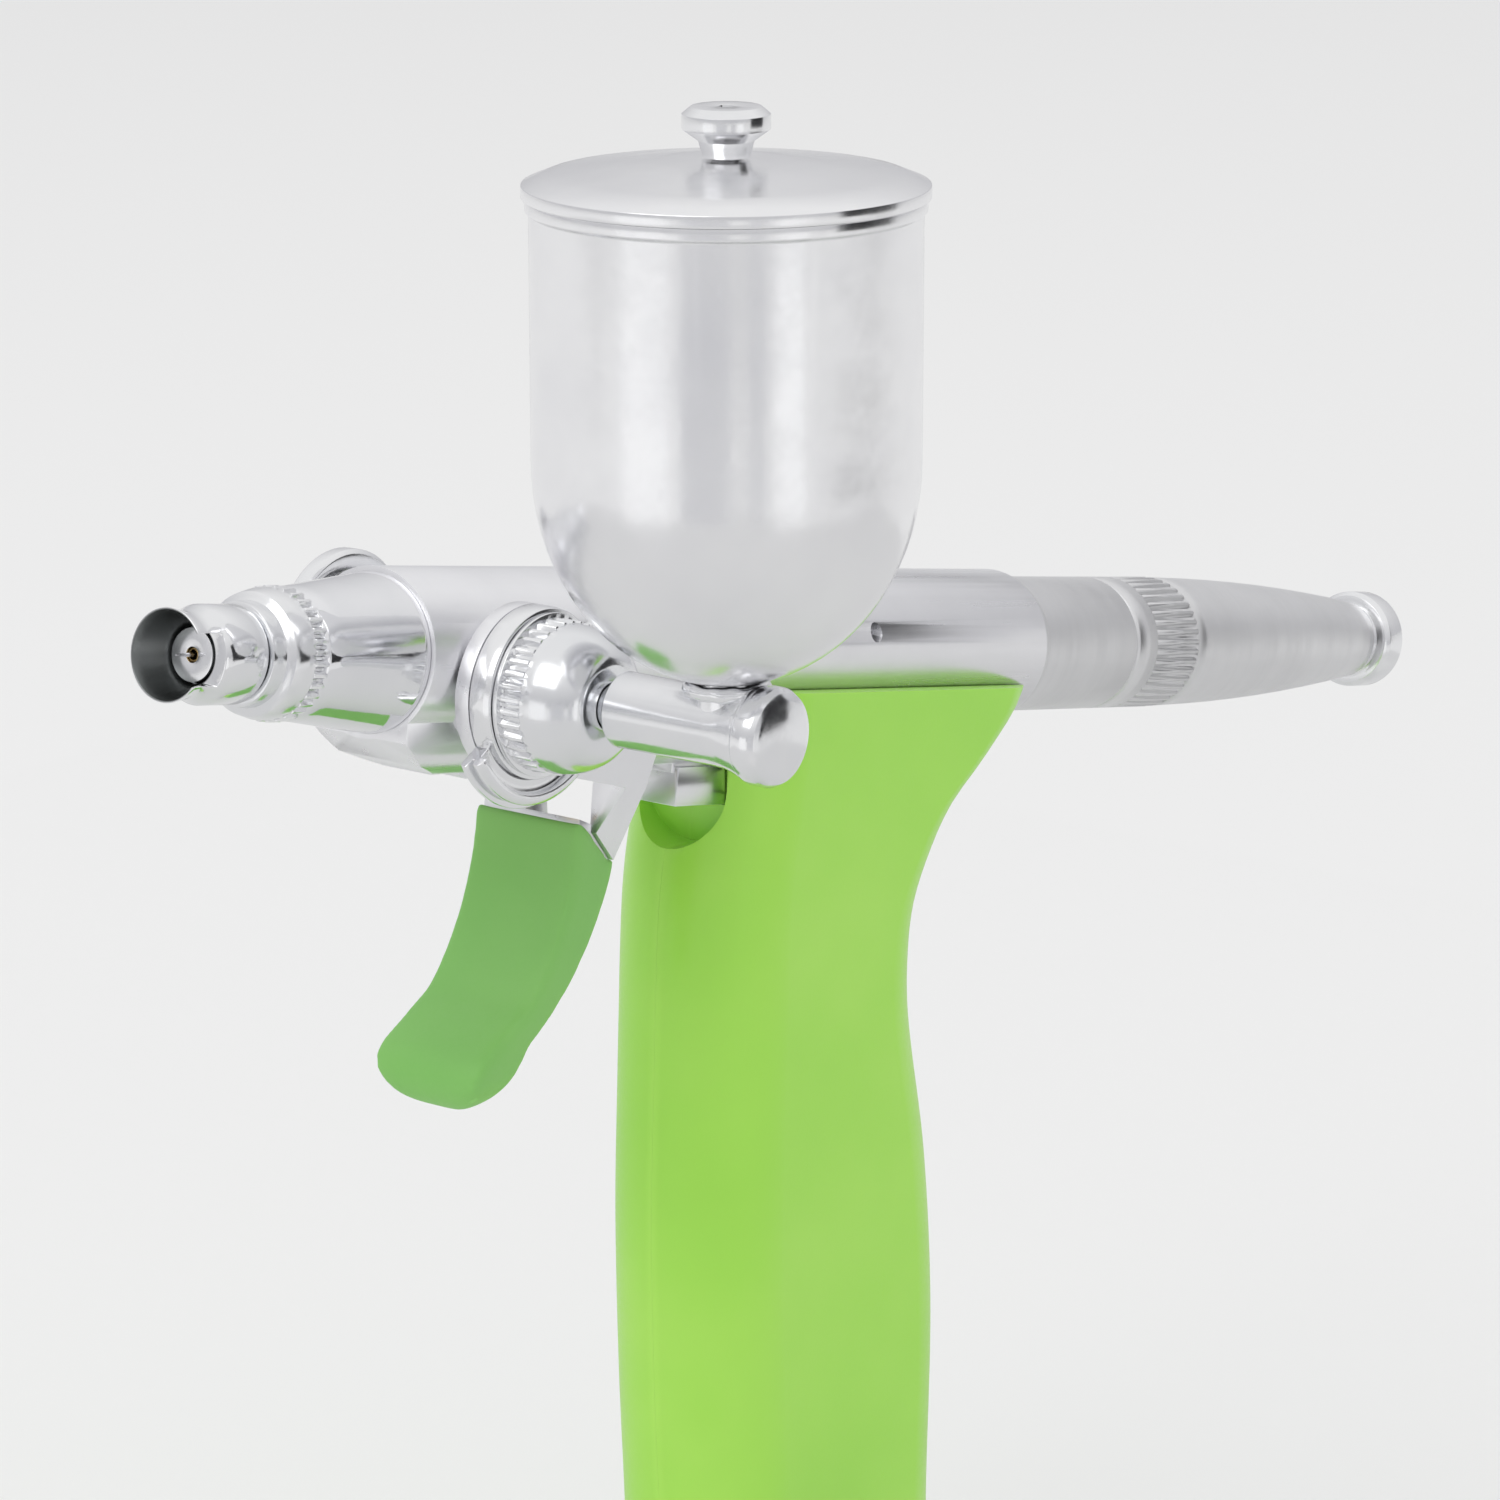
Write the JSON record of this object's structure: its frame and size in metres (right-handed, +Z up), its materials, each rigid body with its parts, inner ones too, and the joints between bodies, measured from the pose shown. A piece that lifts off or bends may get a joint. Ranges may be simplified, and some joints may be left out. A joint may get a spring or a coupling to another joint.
{
  "type": "pistol grip airbrush gun",
  "caption": "Pistol-grip airbrush gun with a side-fed gravity cup, a pull trigger, a tapered tail with a preset knob and a threaded air inlet under the grip.",
  "frame": {"origin": "centre of the air inlet's lower end face", "axes": "+Z up along the grip and the inlet, nozzle towards -X, cup on the -Y side; the barrel lies in the XZ plane, nose up by 10.5 degrees"},
  "size_m": [0.1588, 0.0515, 0.1469],
  "materials": {
    "chrome": "polished",
    "satin_chrome": "satin",
    "steel": "ground",
    "brass": "machined",
    "ptfe": "matt",
    "rubber": "matt",
    "lime_grip": "moulded, satin gloss",
    "green_sleeve": "moulded, soft"
  },
  "bodies": {
    "gun": {"nozzle_cap": "chrome", "nozzle": "brass", "nozzle_seal": "ptfe", "head_sleeve": "chrome", "body": "chrome", "needle_packing": "ptfe", "packing_screw": "brass", "spring_case": "brass", "near_disc": "chrome", "far_disc": "chrome", "port_nipple": "chrome", "port_plug": "chrome", "plug_seal": "ptfe", "tail_collar": "satin_chrome", "tail_handle": "satin_chrome", "valve_block": "chrome", "valve_seat": "rubber", "valve_cap": "brass", "valve_spring": "steel", "needle_spring": "steel", "grip_left": "lime_grip", "grip_right": "lime_grip", "grip_screws": "steel", "base_plate": "chrome", "air_tube": "steel", "air_inlet": "chrome", "inlet_seal": "rubber"},
    "needle_cap": {"needle_cap": "chrome"},
    "needle_set": {"needle": "steel", "needle_carrier": "brass", "needle_chuck": "chrome", "chuck_nut": "steel"},
    "trigger": {"trigger_yoke": "chrome", "trigger_bushes": "steel", "trigger_sleeve": "green_sleeve"},
    "valve": {"valve_stem": "steel", "valve_poppet": "rubber"},
    "preset": {"preset_screw": "brass", "preset_knob": "chrome"},
    "cup": {"cup_bowl": "chrome", "cup_stem": "chrome", "stem_end_cap": "chrome", "cup_seal": "ptfe"},
    "cup_nut": {"cup_nut": "chrome"},
    "lid": {"cup_lid": "chrome", "lid_knob": "chrome"}
  },
  "joints": [
    {"name": "needle_draw", "type": "slide", "parent": "gun", "child": "needle_set", "axis": [0.9833, 0, -0.1822], "range_m": [0, 0.0014], "stiffness_N_per_m": 1400, "springref_m": -0.0007, "deforming": ["needle_spring"]},
    {"name": "valve_open", "type": "slide", "parent": "gun", "child": "valve", "axis": [0.9833, 0, -0.1822], "range_m": [0, 0.0016], "deforming": ["valve_spring"]},
    {"name": "trigger_pull", "type": "hinge", "parent": "gun", "child": "trigger", "pos_m": [-0.039, 0, 0.104], "axis": [0, -1, 0], "range_deg": [0, 14]},
    {"name": "preset_turn", "type": "hinge", "parent": "gun", "child": "preset", "pos_m": [0.08717, 0, 0.08235], "axis": [0.9833, 0, -0.1822], "continuous": true},
    {"name": "needle_cap_pull", "type": "slide", "parent": "gun", "child": "needle_cap", "axis": [-0.9833, 0, 0.1822], "range_m": [0, 0.012]},
    {"name": "cup_swivel", "type": "hinge", "parent": "gun", "child": "cup", "pos_m": [-0.039, -0.0255, 0.104], "axis": [0, 1, 0], "range_deg": [-60, 60]},
    {"name": "cup_nut_turn", "type": "hinge", "parent": "cup", "child": "cup_nut", "pos_m": [-0.039, -0.0115, 0.104], "axis": [0, -1, 0], "continuous": true},
    {"name": "lid_lift", "type": "slide", "parent": "cup", "child": "lid", "axis": [0, 0, 1], "range_m": [0, 0.03]}
  ],
  "couplings": [
    {"joint": "trigger_pull", "follows": "needle_draw", "rad_per_m": 169.49},
    {"joint": "valve_open", "follows": "needle_draw", "ratio": 1}
  ]
}
